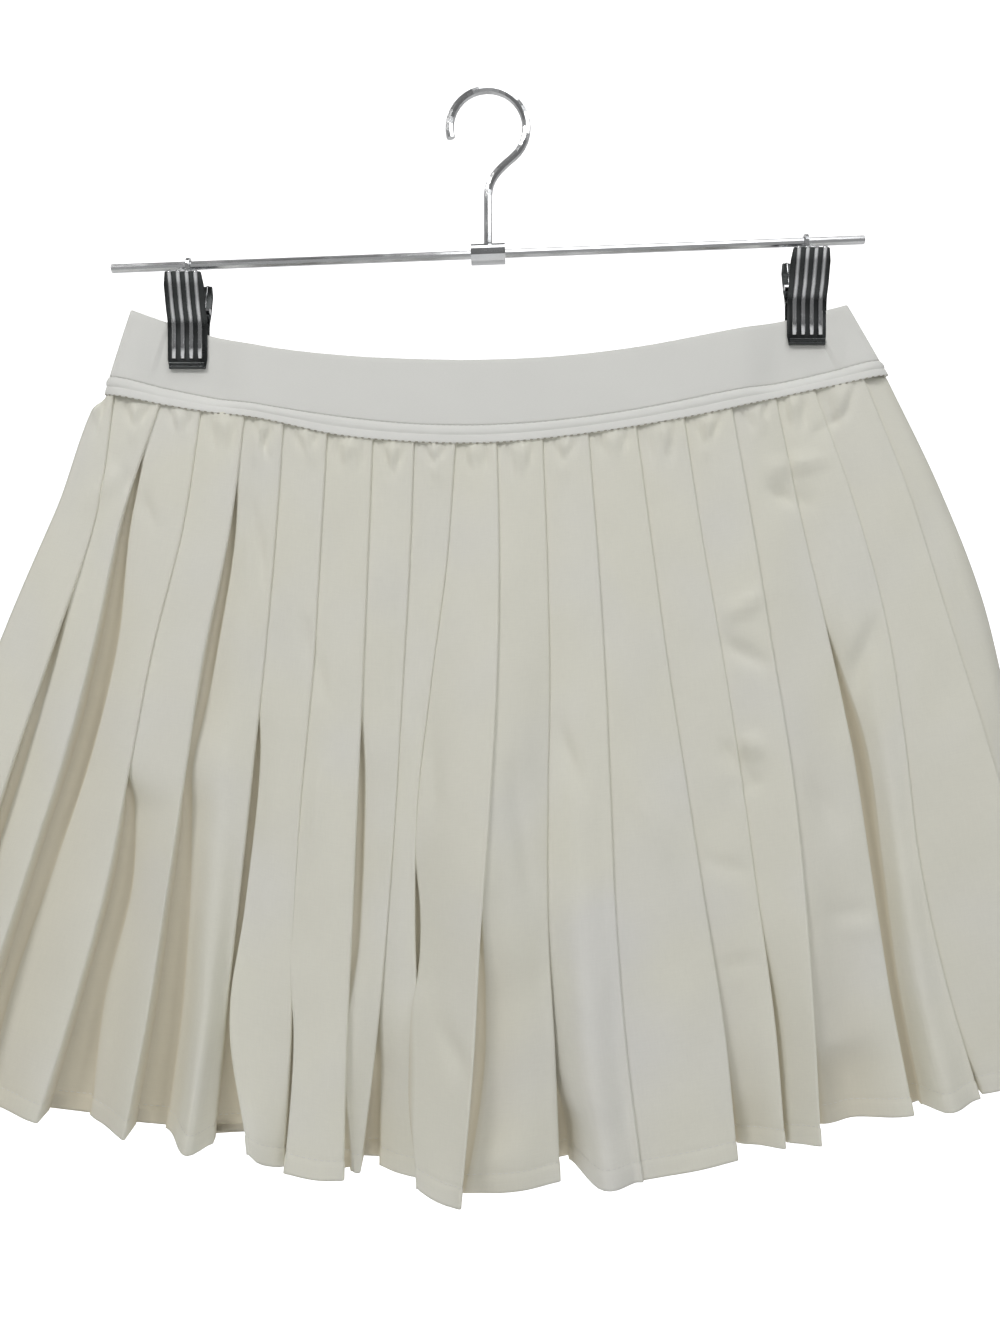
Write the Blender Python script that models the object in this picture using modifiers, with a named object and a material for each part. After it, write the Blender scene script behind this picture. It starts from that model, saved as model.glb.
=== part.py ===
"""Pleated tennis skirt hung by its waistband from a plain two-clip hanger.

Metres, +Z up. X runs along the waist, the front faces -Y, and the origin is where the
hanger's hook bears on a rail. Tables and sizes below are in millimetres, and every height
in them is counted from the lowest point of the waistband's top edge.
"""

import math

import bmesh
import bpy
from mathutils import Vector

MM = 0.001
GAP = 0.3                  # clearance between neighbouring pieces
SEAM_GAP = 0.8             # the same between the slanted edges at the seam

# Cloth.
SKIRT_WALL = 1.0
BAND_WALL = 1.2
BINDING_WALL = 2.4
BINDING_ROUND = 0.6        # bevel along the binding's long edges
SKIRT_LENGTH = 333.0       # cloth length from the seam under the binding to the hem
FOLD_RADIUS = 0.9          # half the spacing of the two layers at a pressed fold
TUCK = 7.5                 # how far each fold lies over the valley behind it
SEAM_DEPTH = 10.0          # from the middle plane to the front layer at the seam
WAIST_DEPTH = 5.0          # the same along the top edge, between the clips
SIDE_RUN = 1.8             # straight run of the band over its side folds
SIDE_ROUND = 3.0           # straight run across the side seam
BULGE = 2.5                # how far a panel swells between two folds at the hem
VALLEY_DROP = 7.0          # valley behind the lower of its two neighbours at the hem
LEAST_VALLEY = 4.5

# The waistband: heights of its top edge, of the groove over the binding and of the seam
# under it, at places along the waist. The outer rows are its two side folds.
BAND = (
    # x,     top,  groove, seam
    (-172.0, 22.0, -9.0, -19.5),
    (-140.0, 15.0, -15.0, -23.0),
    (-105.0, 6.5, -21.5, -28.5),
    (-70.0, 2.2, -27.0, -36.0),
    (-35.0, 0.3, -30.5, -39.5),
    (0.0, 0.0, -31.0, -40.5),
    (35.0, 1.8, -28.5, -38.5),
    (70.0, 6.0, -23.5, -33.5),
    (105.0, 12.5, -16.5, -27.0),
    (140.0, 19.5, -9.5, -20.0),
    (176.0, 28.5, -1.0, -12.5),
)
# Where the side folds lie at each of those three levels: left, right.
SIDES = {"top": (-166.0, 167.0), "groove": (-176.0, 182.0), "seam": (-178.0, 186.0)}

# The front's pressed folds, left to right: where each lies along X at seven heights from
# the seam to the hem, how far forward its crest stands at the hem, and how far forward the
# next panel starts there. The first and last rows are the side seams.
FOLDS = (
    # x at the seam ................................ at the hem, crest, ledge
    ((-178.0, -200.0, -222.0, -242.0, -261.0, -279.0, -295.0), 0.0, 6.0),
    ((-174.0, -181.0, -197.0, -214.0, -230.0, -244.0, -257.0), 24.0, 12.0),
    ((-152.0, -169.0, -180.0, -193.0, -209.0, -225.0, -239.0), 20.0, 9.0),
    ((-133.0, -141.0, -154.0, -164.0, -174.0, -188.0, -204.0), 18.0, 9.0),
    ((-112.0, -119.0, -130.0, -138.0, -145.0, -152.0, -161.0), 20.0, 9.0),
    ((-94.0, -98.0, -103.0, -109.0, -116.0, -122.0, -125.0), 22.0, 12.0),
    ((-74.0, -77.0, -80.0, -85.0, -88.0, -89.0, -91.0), 30.0, 26.0),
    ((-53.0, -55.0, -57.0, -59.0, -61.0, -63.0, -64.0), 28.0, 18.0),
    ((-34.0, -36.0, -39.0, -42.0, -46.0, -51.0, -55.0), 24.0, 20.0),
    ((-15.0, -19.0, -26.0, -32.0, -33.0, -31.0, -29.0), 38.0, 40.0),
    ((4.0, 5.0, 4.0, 1.0, -3.0, -6.0, -10.0), 50.0, 42.0),
    ((25.0, 27.0, 28.0, 27.0, 27.0, 30.0, 33.0), 32.0, 14.0),
    ((46.0, 50.0, 53.0, 55.0, 57.0, 61.0, 67.0), 40.0, 34.0),
    ((68.0, 75.0, 82.0, 90.0, 98.0, 106.0, 111.0), 27.0, 13.0),
    ((90.0, 98.0, 107.0, 115.0, 122.0, 129.0, 134.0), 24.0, 17.0),
    ((112.0, 121.0, 129.0, 137.0, 142.0, 145.0, 148.0), 30.0, 14.0),
    ((133.0, 144.0, 156.0, 167.0, 175.0, 183.0, 191.0), 23.0, 11.0),
    ((151.0, 169.0, 183.0, 191.0, 197.0, 208.0, 223.0), 20.0, 12.0),
    ((172.0, 194.0, 210.0, 226.0, 241.0, 255.0, 268.0), 17.0, 8.0),
    ((186.0, 210.0, 230.0, 243.0, 256.0, 269.0, 281.0), 0.0, 6.0),
)
LEVELS = 7
BACK_EVENNESS = 0.5        # how far the back's folds are moved to an even spacing

# The hanger.
BAR_RADIUS = 2.0
BAR_HEIGHT = 50.5          # of its axis at the middle
BAR_TILT = 2.2             # degrees, right end up
BAR_REACH = 176.0
HOOK_RISE = 75.0           # from the bar's axis to the hook's bearing point
HOOK_WIRE = 2.0
HOOK_TURN = 18.0           # radius of the hook's turn, to the wire's middle
HUB_RADIUS = 4.8
HUB_LENGTH = 16.0
CLIP_CENTRES = {"left": -140.0, "right": 148.6}
LIP_DROP = 49.5            # from the bar's axis to the jaws' lips
JAW_WIDTH = 18.4
JAW_WALL = 1.0
PINCH_HALF = BAND_WALL / 2 + GAP / 2
JAW_SEAT = PINCH_HALF + BAND_WALL / 2 + 1.5 * GAP + JAW_WALL / 2
JAW_PATH = ((JAW_SEAT, 0.0), (JAW_SEAT, 21.0), (5.5, 28.0), (10.5, 43.0))  # forward, up
PIVOT_HEIGHT = 28.0
PIN_RADIUS = 1.5
PIN_LENGTH = 20.0
SPRING_RADIUS = 4.1
SPRING_LENGTH = 6.5
LINK_HALF_WIDTH = 3.6
LINK_WALL = 1.6
PINCH_REACH = 24.0         # how far along the waist a clip flattens the band
PINCH_DIMPLE = 3.5         # how far it draws the seam in below itself

ORIGIN_HEIGHT = BAR_HEIGHT + HOOK_RISE

COLOURS = {
    "elastic": ((0.83, 0.83, 0.80), 0.85, 0.0),
    "cloth": ((0.80, 0.79, 0.71), 0.9, 0.0),
    "steel": ((0.55, 0.56, 0.58), 0.28, 1.0),
}


def place(x, forward, height):
    """Point in metres from a place along the waist, a distance forward and a height."""
    return Vector((x, -forward, height - ORIGIN_HEIGHT)) * MM


def mix(a, b, share):
    return a + (b - a) * share


def smoothstep(low, high, value):
    share = min(max((value - low) / (high - low), 0.0), 1.0)
    return share * share * (3.0 - 2.0 * share)


def along_band(x, column):
    """A height from BAND at x, on a smooth curve through the column's values."""
    rows = BAND
    last = len(rows) - 2
    i = min(max(sum(row[0] <= x for row in rows) - 1, 0), last)

    def slope(k):
        before, after = rows[max(k - 1, 0)], rows[min(k + 1, len(rows) - 1)]
        return (after[column] - before[column]) / (after[0] - before[0])

    span = rows[i + 1][0] - rows[i][0]
    s = (x - rows[i][0]) / span
    start, end = rows[i][column], rows[i + 1][column]
    return (
        (2 * s**3 - 3 * s**2 + 1) * start
        + (s**3 - 2 * s**2 + s) * span * slope(i)
        + (3 * s**2 - 2 * s**3) * end
        + (s**3 - s**2) * span * slope(i + 1)
    )


def clip_share(x):
    """1 under a clip, falling to 0 a little way beside it."""
    nearest = min(abs(x - centre) for centre in CLIP_CENTRES.values())
    return 1.0 - smoothstep(JAW_WIDTH / 2 + 1.5, PINCH_REACH + JAW_WIDTH / 2, nearest)


def seam_forward(x):
    """Distance from the middle plane to the cloth at the seam under the binding."""
    left, right = SIDES["seam"]
    share = abs((2 * x - left - right) / (right - left))
    rounded = SEAM_DEPTH * math.sqrt(max(1.0 - share**8, 0.0))
    return rounded - PINCH_DIMPLE * clip_share(x) * min(rounded / SEAM_DEPTH, 1.0)


def band_point(share, rise):
    """A point of the front half of the band: share 0 to 1 from side to side, rise from -1
    at the seam through 0 at the groove to 1 at the top edge."""
    lower, upper = ("seam", "groove") if rise < 0 else ("groove", "top")
    part = rise + 1 if rise < 0 else rise
    left = mix(SIDES[lower][0], SIDES[upper][0], part)
    right = mix(SIDES[lower][1], SIDES[upper][1], part)
    swing = abs(2 * share - 1)
    x = mix(left, right, share)
    columns = {"top": 1, "groove": 2, "seam": 3}
    height = mix(along_band(x, columns[lower]), along_band(x, columns[upper]), part)
    climb = (rise + 1) / 2
    open_depth = mix(SEAM_DEPTH, WAIST_DEPTH, climb) * math.sqrt(max(1 - swing**10, 0.0))
    grip = clip_share(x) * smoothstep(0.12, 0.62, climb)
    forward = mix(open_depth, PINCH_HALF, grip)
    forward -= PINCH_DIMPLE * clip_share(x) * (1 - smoothstep(0.12, 0.62, climb))
    return x, max(forward, PINCH_HALF), height


def band_row(count, rise):
    """Points across the front half at one rise, each end running straight over the side."""
    inner = [band_point(share, rise) for share in band_shares(count)]
    ends = (inner[0], inner[-1])
    turned = [(x, SIDE_RUN, height) for x, _, height in ends]
    edge = [(x, GAP / 2, height) for x, _, height in ends]
    kept = [(x, max(forward, SIDE_RUN if abs(2 * i / count - 1) > 0.9 else 0.0), height)
            for i, (x, forward, height) in enumerate(inner)][1:-1]
    return [edge[0], turned[0], *kept, turned[1], edge[1]]


def band_shares(count):
    """Places across the band, closer together towards the side folds and at the clips."""
    return [0.5 - 0.5 * math.copysign(abs(math.cos(math.pi * i / count)) ** 0.8,
                                      math.cos(math.pi * i / count)) for i in range(count + 1)]


def back_folds():
    """The back's folds: the front's turned half round, and moved to a more even spacing."""
    turned = [
        (tuple(-x for x in xs), crest, ledge) for xs, crest, ledge in reversed(FOLDS)
    ]
    last = len(turned) - 1
    rows = [turned[0]]
    for i in range(1, last):
        crest, ledge = FOLDS[i][1:]
        even = [mix(a, b, i / last) for a, b in zip(turned[0][0], turned[-1][0])]
        xs = [mix(x, e, BACK_EVENNESS) for x, e in zip(turned[i][0], even)]
        rows.append((tuple(xs), mix(crest, 27.0, BACK_EVENNESS), mix(ledge, 16.0, BACK_EVENNESS)))
    return tuple(rows) + (turned[-1],)


def pleat_section(folds, level, turn):
    """(x, forward) points of one level of a pleated panel, left side seam to right one.

    turn is 1 on the front and -1 on the back, whose own left is +X.
    """
    t = level / (LEVELS - 1)
    at_seam = FOLD_RADIUS * 4 + 0.2
    rows = []
    for xs, crest, ledge in folds:
        start = seam_forward(turn * xs[0])
        front = mix(start, crest, t**1.1)
        step = mix(start - at_seam, ledge, t**1.1)
        floor = max(min(crest, ledge) - VALLEY_DROP, LEAST_VALLEY)
        valley = mix(start - at_seam, floor, t**1.3)
        rows.append((xs[level], front, min(step, valley + 30.0), valley))
    left, right = rows[0], rows[-1]
    round_out = mix(2.0, SIDE_ROUND, t)
    points = [(left[0], GAP / 2), (left[0], round_out)]
    previous = (left[0], round_out)
    for x, front, ledge, valley in rows[1:-1]:
        room = x - previous[0]
        middle = (previous[1] + front) / 2 + BULGE * t
        points.append((previous[0] + 0.5 * room, middle))
        crest_x = x - 0.3 * FOLD_RADIUS
        points.append((crest_x, front))
        points.append((crest_x, front - 2 * FOLD_RADIUS))
        tuck = min(TUCK, 0.6 * room)
        points.append((x - tuck, valley + 2 * FOLD_RADIUS * (1 - t)))
        points.append((x - tuck + 1.0 * t, valley))
        previous = (x + 1.5, ledge)
        points.append(previous)
    points[-1] = ((points[-1][0] + right[0]) / 2, max(points[-1][1] * 0.8, round_out))
    points.append((right[0], round_out))
    points.append((right[0], GAP / 2))
    return points


def pleat_grid(folds, turn):
    """Rows of points of a pleated panel, each column keeping the cloth's own length."""
    sections = [pleat_section(folds, level, turn) for level in range(LEVELS)]
    step = SKIRT_LENGTH / (LEVELS - 1)
    heights = []
    for x, _ in sections[0]:
        inside = min(max(turn * x, BAND[0][0]), BAND[-1][0])
        heights.append(along_band(inside, 3) - SEAM_GAP)
    grid = []
    for level, section in enumerate(sections):
        if level:
            for c, ((x, f), (x0, f0)) in enumerate(zip(section, sections[level - 1])):
                across = (x - x0) ** 2 + (f - f0) ** 2
                heights[c] -= math.sqrt(step**2 - across)
        grid.append([place(turn * x, turn * f, h) for (x, f), h in zip(section, heights)])
    return grid


def new_object(name, mesh, colour, group):
    obj = bpy.data.objects.new(name, mesh)
    group.objects.link(obj)
    obj.data.materials.append(material(colour))
    return obj


def material(name):
    made = bpy.data.materials.get(name)
    if made is None:
        colour, roughness, metallic = COLOURS[name]
        made = bpy.data.materials.new(name)
        made.use_nodes = True
        shader = made.node_tree.nodes["Principled BSDF"]
        shader.inputs["Base Color"].default_value = (*colour, 1.0)
        shader.inputs["Roughness"].default_value = roughness
        shader.inputs["Metallic"].default_value = metallic
    return made


def wall(name, grid, thickness, colour, group, round_edges=0.0):
    """A cloth wall on a lofted sheet: rows of points, top row first, outside facing out."""
    mesh = bpy.data.meshes.new(name)
    columns = len(grid[0])
    points = [point for row in grid for point in row]
    faces = []
    for r in range(len(grid) - 1):
        for c in range(columns - 1):
            a = r * columns + c
            faces.append((a, a + columns, a + columns + 1, a + 1))
    mesh.from_pydata(points, [], faces)
    sheet = bmesh.new()
    sheet.from_mesh(mesh)
    bmesh.ops.triangulate(sheet, faces=sheet.faces)
    sheet.to_mesh(mesh)
    sheet.free()
    obj = new_object(name, mesh, colour, group)
    solidify = obj.modifiers.new("Wall", "SOLIDIFY")
    solidify.thickness = thickness * MM
    solidify.offset = 0.0
    solidify.use_even_offset = True
    if round_edges:
        bevel = obj.modifiers.new("Rounded edge", "BEVEL")
        bevel.width = round_edges * MM
        bevel.segments = 1
        bevel.limit_method = "ANGLE"
        bevel.angle_limit = math.radians(60)
    return obj


def build_band(group):
    """The flat elastic and the rounded binding under it, each a front and a back half."""
    joint = GAP / 31.0
    pieces = (
        ("waistband", (1.0, 0.8, 0.6, 0.4, 0.2, 2 * joint), BAND_WALL, "elastic", 0.0, 34),
        ("binding", (-joint, -1.0), BINDING_WALL, "elastic", BINDING_ROUND, 34),
    )
    for name, rises, thickness, colour, round_edges, count in pieces:
        for side, turn in (("front", 1), ("back", -1)):
            grid = [
                [place(x, turn * f, h) for x, f, h in band_row(count, rise)[::turn]]
                for rise in rises
            ]
            wall(f"{name}_{side}", grid, thickness, colour, group, round_edges)


def build_skirt(group):
    """The two pleated panels, which meet at the side seams."""
    wall("skirt_front", pleat_grid(FOLDS, 1), SKIRT_WALL, "cloth", group)
    wall("skirt_back", pleat_grid(back_folds(), -1), SKIRT_WALL, "cloth", group)


def bar_height(x):
    return BAR_HEIGHT + x * math.tan(math.radians(BAR_TILT))


def wire(name, points, radius, group, resolution=3):
    """A round steel wire through the points."""
    curve = bpy.data.curves.new(name, "CURVE")
    curve.dimensions = "3D"
    curve.bevel_depth = radius * MM
    curve.bevel_resolution = resolution
    curve.use_fill_caps = True
    spline = curve.splines.new("POLY")
    spline.points.add(len(points) - 1)
    for knot, point in zip(spline.points, points):
        knot.co = (*point, 1.0)
    return new_object(name, curve, "steel", group)


def sleeve(name, inner, outer, length, centre, group, tilt=0.0):
    """A short tube along X, turned round its axis."""
    half = length / 2
    profile = [(half, outer), (-half, outer), (-half, inner), (half, inner)]
    mesh = bpy.data.meshes.new(name)
    corners = [Vector((x, 0.0, r)) * MM for x, r in profile]
    mesh.from_pydata(corners, [(0, 1), (1, 2), (2, 3), (3, 0)], [])
    obj = new_object(name, mesh, "steel", group)
    turn = obj.modifiers.new("Turn", "SCREW")
    turn.axis = "X"
    turn.steps = turn.render_steps = 20
    turn.use_merge_vertices = True
    turn.merge_threshold = 0.00001
    turn.use_normal_calculate = True
    turn.use_normal_flip = True
    obj.location = centre
    obj.rotation_euler.y = -math.radians(tilt)
    return obj


def circle_points(centre, radius, count):
    return [
        (centre[0] + radius * math.cos(2 * math.pi * i / count),
         centre[1] + radius * math.sin(2 * math.pi * i / count))
        for i in range(count)
    ]


def link_plate(name, x, pivot, bar, group):
    """The flat link that hangs a clip from the bar, with a round hole at each end."""
    curve = bpy.data.curves.new(name, "CURVE")
    curve.dimensions = "2D"
    curve.fill_mode = "BOTH"
    curve.extrude = LINK_WALL / 2 * MM
    rise = bar - pivot
    outline = []
    for end, start in ((rise, 0.0), (0.0, math.pi)):
        for i in range(9):
            angle = start + math.pi * i / 8
            outline.append((LINK_HALF_WIDTH * math.cos(angle), end + LINK_HALF_WIDTH * math.sin(angle)))
    holes = (circle_points((0.0, 0.0), PIN_RADIUS + GAP, 16),
             circle_points((0.0, rise), BAR_RADIUS + GAP, 16))
    for loop in (outline, *holes):
        spline = curve.splines.new("POLY")
        spline.points.add(len(loop) - 1)
        for knot, (across, up) in zip(spline.points, loop):
            knot.co = (across * MM, up * MM, 0.0, 1.0)
        spline.use_cyclic_u = True
    obj = new_object(name, curve, "steel", group)
    obj.location = place(x, 0.0, pivot)
    obj.rotation_euler = (math.pi / 2, 0.0, math.pi / 2)
    return obj


def build_clip(side, group):
    """One clip: two bent jaws, the pin with its spring, and the link to the bar."""
    x = CLIP_CENTRES[side]
    bar = bar_height(x)
    lip = bar - LIP_DROP
    pivot = lip + PIVOT_HEIGHT
    half = JAW_WIDTH / 2
    for name, turn in (("front", 1), ("back", -1)):
        edges = (x - turn * half, x + turn * half)
        grid = [
            [place(edge, turn * forward, lip + up) for edge in edges]
            for forward, up in reversed(JAW_PATH)
        ]
        wall(f"clip_{side}_{name}_jaw", grid, JAW_WALL, "steel", group)
    ends = [place(x + s * PIN_LENGTH / 2, 0.0, pivot) for s in (-1, 1)]
    wire(f"clip_{side}_pin", ends, PIN_RADIUS, group, resolution=2)
    offset = LINK_WALL / 2 + GAP + SPRING_LENGTH / 2
    for name, s in (("outer", -1), ("inner", 1)):
        centre = place(x + s * offset, 0.0, pivot)
        sleeve(f"clip_{side}_spring_{name}", PIN_RADIUS + GAP, SPRING_RADIUS, SPRING_LENGTH, centre, group)
    link_plate(f"clip_{side}_link", x, pivot, bar, group)


def hook_points():
    """The hook's wire: up from the hub, round to the right, over the top and down."""
    top = ORIGIN_HEIGHT + HOOK_WIRE
    centre = top - HOOK_TURN
    foot = BAR_HEIGHT + HUB_RADIUS + GAP
    join = math.radians(-50)
    meet = Vector((HOOK_TURN * math.cos(join), centre + HOOK_TURN * math.sin(join)))
    stem_top = Vector((0.0, ORIGIN_HEIGHT - 48.0))
    out = meet + Vector((math.sin(join), -math.cos(join))) * 9.0
    up = stem_top + Vector((0.0, 8.0))
    flat = [Vector((0.0, foot)), Vector((0.0, mix(foot, stem_top.y, 0.5)))]
    for i in range(9):
        s = i / 8
        flat.append(stem_top * (1 - s) ** 3 + up * 3 * s * (1 - s) ** 2 + out * 3 * s**2 * (1 - s) + meet * s**3)
    for i in range(1, 25):
        angle = mix(join, math.radians(195), i / 24)
        flat.append(Vector((HOOK_TURN * math.cos(angle), centre + HOOK_TURN * math.sin(angle))))
    return [place(point.x, 0.0, point.y) for point in flat]


def build_hanger(group):
    """The bar, the hub on it, the hook and the two clips."""
    reach = (-BAR_REACH, BAR_REACH)
    wire("hanger_bar", [place(x, 0.0, bar_height(x)) for x in reach], BAR_RADIUS, group)
    sleeve("hanger_hub", BAR_RADIUS + GAP, HUB_RADIUS, HUB_LENGTH, place(0.0, 0.0, BAR_HEIGHT),
           group, tilt=BAR_TILT)
    wire("hanger_hook", hook_points(), HOOK_WIRE, group, resolution=2)
    for side in CLIP_CENTRES:
        build_clip(side, group)


def main():
    for obj in list(bpy.data.objects):
        bpy.data.objects.remove(obj, do_unlink=True)
    group = bpy.data.collections.new("tennis_skirt")
    bpy.context.scene.collection.children.link(group)
    build_band(group)
    build_skirt(group)
    build_hanger(group)


main()
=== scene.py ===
"""Looks of a pleated tennis skirt that hangs by its waistband from a plain clip hanger.

Sizes and tables are in millimetres and heights are counted from the lowest point of the
waistband's top edge, as in the garment's own pattern. "Forward" is towards the front, -Y.
"""

from __future__ import annotations

import logging
import math
from dataclasses import dataclass
from enum import Enum

import bmesh
import bpy
import numpy as np
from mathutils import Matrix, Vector

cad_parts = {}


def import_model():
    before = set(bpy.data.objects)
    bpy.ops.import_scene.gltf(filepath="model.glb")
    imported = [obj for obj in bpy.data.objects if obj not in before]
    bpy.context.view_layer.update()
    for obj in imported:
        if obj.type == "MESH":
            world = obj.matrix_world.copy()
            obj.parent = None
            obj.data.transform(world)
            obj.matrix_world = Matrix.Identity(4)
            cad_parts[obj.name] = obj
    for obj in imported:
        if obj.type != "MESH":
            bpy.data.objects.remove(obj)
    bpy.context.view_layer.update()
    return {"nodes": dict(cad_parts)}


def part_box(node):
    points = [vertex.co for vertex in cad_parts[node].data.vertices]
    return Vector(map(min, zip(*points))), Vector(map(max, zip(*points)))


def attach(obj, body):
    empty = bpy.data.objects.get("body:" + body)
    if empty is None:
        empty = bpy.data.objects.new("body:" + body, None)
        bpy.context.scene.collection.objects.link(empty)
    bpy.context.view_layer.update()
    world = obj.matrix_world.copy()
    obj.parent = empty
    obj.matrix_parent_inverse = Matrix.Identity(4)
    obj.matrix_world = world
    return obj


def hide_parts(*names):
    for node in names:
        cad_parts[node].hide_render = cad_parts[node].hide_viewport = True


MM = 0.001
BODY = "root"
LOG = logging.getLogger("tennis_skirt")
Grid = np.ndarray
Amount = float | np.ndarray
Colour = tuple[float, float, float]
Input = float | tuple | bpy.types.NodeSocket


class Side(Enum):
    """The two halves of the skirt; the value turns a front shape round to its half."""

    FRONT = 1
    BACK = -1


class Hold(Enum):
    HUNG = "hung"
    GATHERED = "gathered"
    STRETCHED = "stretched"


def mix(a: Amount, b: Amount, share: Amount) -> Amount:
    """Value between a and b.

    Args:
        a: value at share 0.
        b: value at share 1.
        share: number or array.

    Returns:
        The blended value or array.
    """
    return a + (b - a) * share


def smoothstep(low: float, high: float, value: Amount) -> Grid:
    """Soft step from 0 at low to 1 at high.

    Args:
        low: where the step starts.
        high: where it ends.
        value: number or array.

    Returns:
        The step's height, of the value's own form.
    """
    share = np.clip((np.asarray(value, float) - low) / (high - low), 0.0, 1.0)
    return share * share * (3.0 - 2.0 * share)


def hermite(s: Amount, ends: tuple, slopes: tuple) -> Amount:
    """Cubic curve between two knots.

    Args:
        s: share of the way, from 0 to 1; a number or an array.
        ends: values at the two knots.
        slopes: the curve's slopes there, over the whole way from 0 to 1.

    Returns:
        The curve's values.
    """
    arrive = 3 * s**2 - 2 * s**3
    leave_slope, arrive_slope = s**3 - 2 * s**2 + s, s**3 - s**2
    return mix(ends[0], ends[1], arrive) + leave_slope * slopes[0] + arrive_slope * slopes[1]


def through(values: tuple[float, ...], at: Grid) -> Grid:
    """Smooth curve through evenly spaced values, for `at` from 0 at the first to 1.

    Args:
        values: heights of the curve, evenly spaced.
        at: where to read it; it runs on straight outside 0 to 1.

    Returns:
        The curve's heights.
    """
    v = np.asarray(values, float)
    slope = np.gradient(v)
    place = np.asarray(at, float) * (len(v) - 1)
    i = np.clip(np.floor(place).astype(int), 0, len(v) - 2)
    s = place - i
    curve = hermite(np.clip(s, 0.0, 1.0), (v[i], v[i + 1]), (slope[i], slope[i + 1]))
    return curve + np.minimum(s, 0.0) * slope[0] + np.maximum(s - 1, 0.0) * slope[-1]


@dataclass(frozen=True)
class Pattern:
    """Sizes that every piece shares: the band's run, its depth and the clips' places."""

    band: tuple = (
        # x, top, groove, seam
        (-172.0, 26.0, -8.0, -17.0),
        (-140.0, 15.0, -15.0, -23.2),
        (-105.0, 6.5, -21.5, -28.5),
        (-70.0, 2.2, -27.0, -36.0),
        (-35.0, 0.3, -30.5, -39.3),
        (0.0, 0.0, -31.0, -39.8),
        (35.0, 1.8, -28.5, -36.8),
        (70.0, 6.0, -23.5, -31.8),
        (105.0, 12.5, -16.5, -25.3),
        (140.0, 19.5, -9.5, -17.0),
        (176.0, 28.5, -1.0, -9.0),
    )
    top_sides: tuple[float, float] = (-166.0, 167.0)
    groove_sides: tuple[float, float] = (-176.0, 182.0)
    seam_sides: tuple[float, float] = (-178.0, 186.0)
    seam_depth: float = 10.0
    waist_depth: float = 5.0
    side_run: float = 1.8
    half_gap: float = 0.15
    pinch_half: float = 0.75
    pinch_dimple: float = 3.5
    pinch_margin: float = 1.5
    pinch_reach: float = 24.0
    jaw_width: float = 18.4
    clip_centres: tuple[float, float] = (-140.0, 148.6)
    bar_height: float = 50.5
    bar_tilt: float = 2.2
    lip_drop: float = 49.5
    origin_height: float = 125.5

    def along(self, x: Amount, column: int) -> Grid:
        """Height of one of the band's lines: column 1 top, 2 groove, 3 seam, at x."""
        rows = np.asarray(self.band)
        knots, values = rows[:, 0], rows[:, column]
        slopes = np.gradient(values, knots)
        x = np.asarray(x, float)
        i = np.clip(np.searchsorted(knots, x, side="right") - 1, 0, len(knots) - 2)
        span = knots[i + 1] - knots[i]
        ends, turns = (values[i], values[i + 1]), (span * slopes[i], span * slopes[i + 1])
        return hermite((x - knots[i]) / span, ends, turns)

    def clip_share(self, x: Amount) -> Grid:
        """1 under a clip, falling to 0 a little way beside it."""
        nearest = np.min([np.abs(np.asarray(x, float) - c) for c in self.clip_centres], axis=0)
        beside = nearest - self.jaw_width / 2
        return 1.0 - smoothstep(self.pinch_margin, self.pinch_reach, beside)

    def seam_forward(self, x: Amount) -> Grid:
        """Distance from the middle plane to the cloth at the seam under the binding."""
        left, right = self.seam_sides
        share = np.abs((2 * np.asarray(x, float) - left - right) / (right - left))
        rounded = np.sqrt(np.clip(1.0 - share**8, 0.0, 1.0))
        return rounded * (self.seam_depth - self.pinch_dimple * self.clip_share(x))

    def place(self, x: Amount, forward: Amount, height: Amount) -> Grid:
        """Points in metres, in the model's frame, from arrays in millimetres."""
        x, forward, height = np.broadcast_arrays(x, forward, height)
        return np.stack([x, -forward, height - self.origin_height], axis=-1) * MM


# ---------------------------------------------------------------- meshes and nodes


def grid_mesh(
    name: str, points: Grid, uv: Grid | None = None, closed_v: bool = False
) -> bpy.types.Mesh:
    """Mesh of quads on a grid of points.

    Args:
        name: name of the mesh.
        points: rows by columns by 3, in metres, rows downwards and columns rightwards as
            seen from outside.
        uv: rows by columns by 2, in metres of cloth, or None for no map.
        closed_v: whether the last row joins the first.

    Returns:
        The mesh, shaded smooth.
    """
    rows, columns = points.shape[:2]
    index = np.arange(rows * columns).reshape(rows, columns)
    if closed_v:
        index = np.vstack([index, index[:1]])
    quads = np.stack(
        [index[:-1, :-1], index[1:, :-1], index[1:, 1:], index[:-1, 1:]], axis=-1
    ).reshape(-1, 4)
    mesh = bpy.data.meshes.new(name)
    mesh.from_pydata(points.reshape(-1, 3).tolist(), [], quads.tolist())
    if uv is not None:
        layer = mesh.uv_layers.new(name="cloth")
        corners = uv.reshape(-1, 2)[quads.reshape(-1)]
        layer.data.foreach_set("uv", corners.reshape(-1).astype(np.float32))
    mesh.shade_smooth()
    return mesh


def run_along(line: Grid) -> Grid:
    """Length of a line of points up to each of them."""
    return np.append(0.0, np.cumsum(np.linalg.norm(np.diff(line, axis=0), axis=1)))


def add_piece(name: str, mesh: bpy.types.Mesh, finish: bpy.types.Material) -> bpy.types.Object:
    """Links a mesh as an object with one material and returns the object."""
    obj = bpy.data.objects.new(name, mesh)
    bpy.context.scene.collection.objects.link(obj)
    if not mesh.materials:
        mesh.materials.append(finish)
    return obj


def solidify(obj: bpy.types.Object, thickness: float) -> None:
    """Gives a sheet its thickness in millimetres, half on each side."""
    wall = obj.modifiers.new("Cloth thickness", "SOLIDIFY")
    wall.thickness = thickness * MM
    wall.offset = 0.0


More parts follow.
